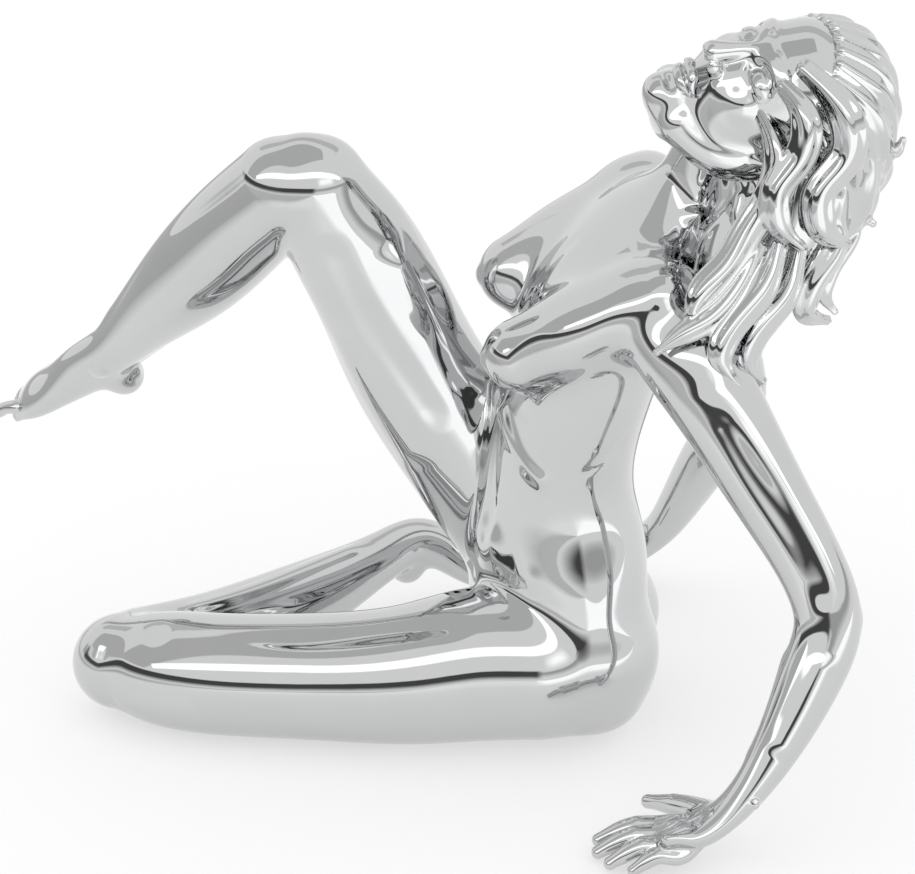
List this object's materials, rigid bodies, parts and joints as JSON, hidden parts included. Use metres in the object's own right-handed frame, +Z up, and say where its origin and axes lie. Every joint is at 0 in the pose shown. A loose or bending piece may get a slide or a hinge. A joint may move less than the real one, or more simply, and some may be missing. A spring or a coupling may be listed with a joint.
{
  "type": "hood ornament",
  "caption": "Chrome hood ornament, a reclining woman leaning back on her hands with a knee raised, on threaded mounting studs with a rubber gasket.",
  "frame": {"origin": "midway between the two mounting studs, on the mounting face (the underside of the gasket, where it meets the body panel)", "axes": "+Z up from the panel; -X the way the knees point, along the line of the two studs; +Y across, from the figure's left hand to its right hand"},
  "size_m": [0.1865, 0.1358, 0.1705],
  "materials": {
    "chrome_plate": "mirror-polished chrome plate on zinc castings",
    "black_rubber": "matt moulded rubber",
    "zinc_plated_steel": "bright zinc plate"
  },
  "bodies": {
    "root": {"torso": "chrome_plate", "head": "chrome_plate", "hair": "chrome_plate", "left_arm": "chrome_plate", "right_arm": "chrome_plate", "left_thigh": "chrome_plate", "left_lower_leg": "chrome_plate", "right_thigh": "chrome_plate", "right_lower_leg": "chrome_plate", "mounting_gasket": "black_rubber", "front_stud": "zinc_plated_steel", "rear_stud": "zinc_plated_steel", "front_flat_washer": "zinc_plated_steel", "rear_flat_washer": "zinc_plated_steel", "front_lock_washer": "zinc_plated_steel", "rear_lock_washer": "zinc_plated_steel", "front_nut": "zinc_plated_steel", "rear_nut": "zinc_plated_steel"}
  },
  "joints": []
}
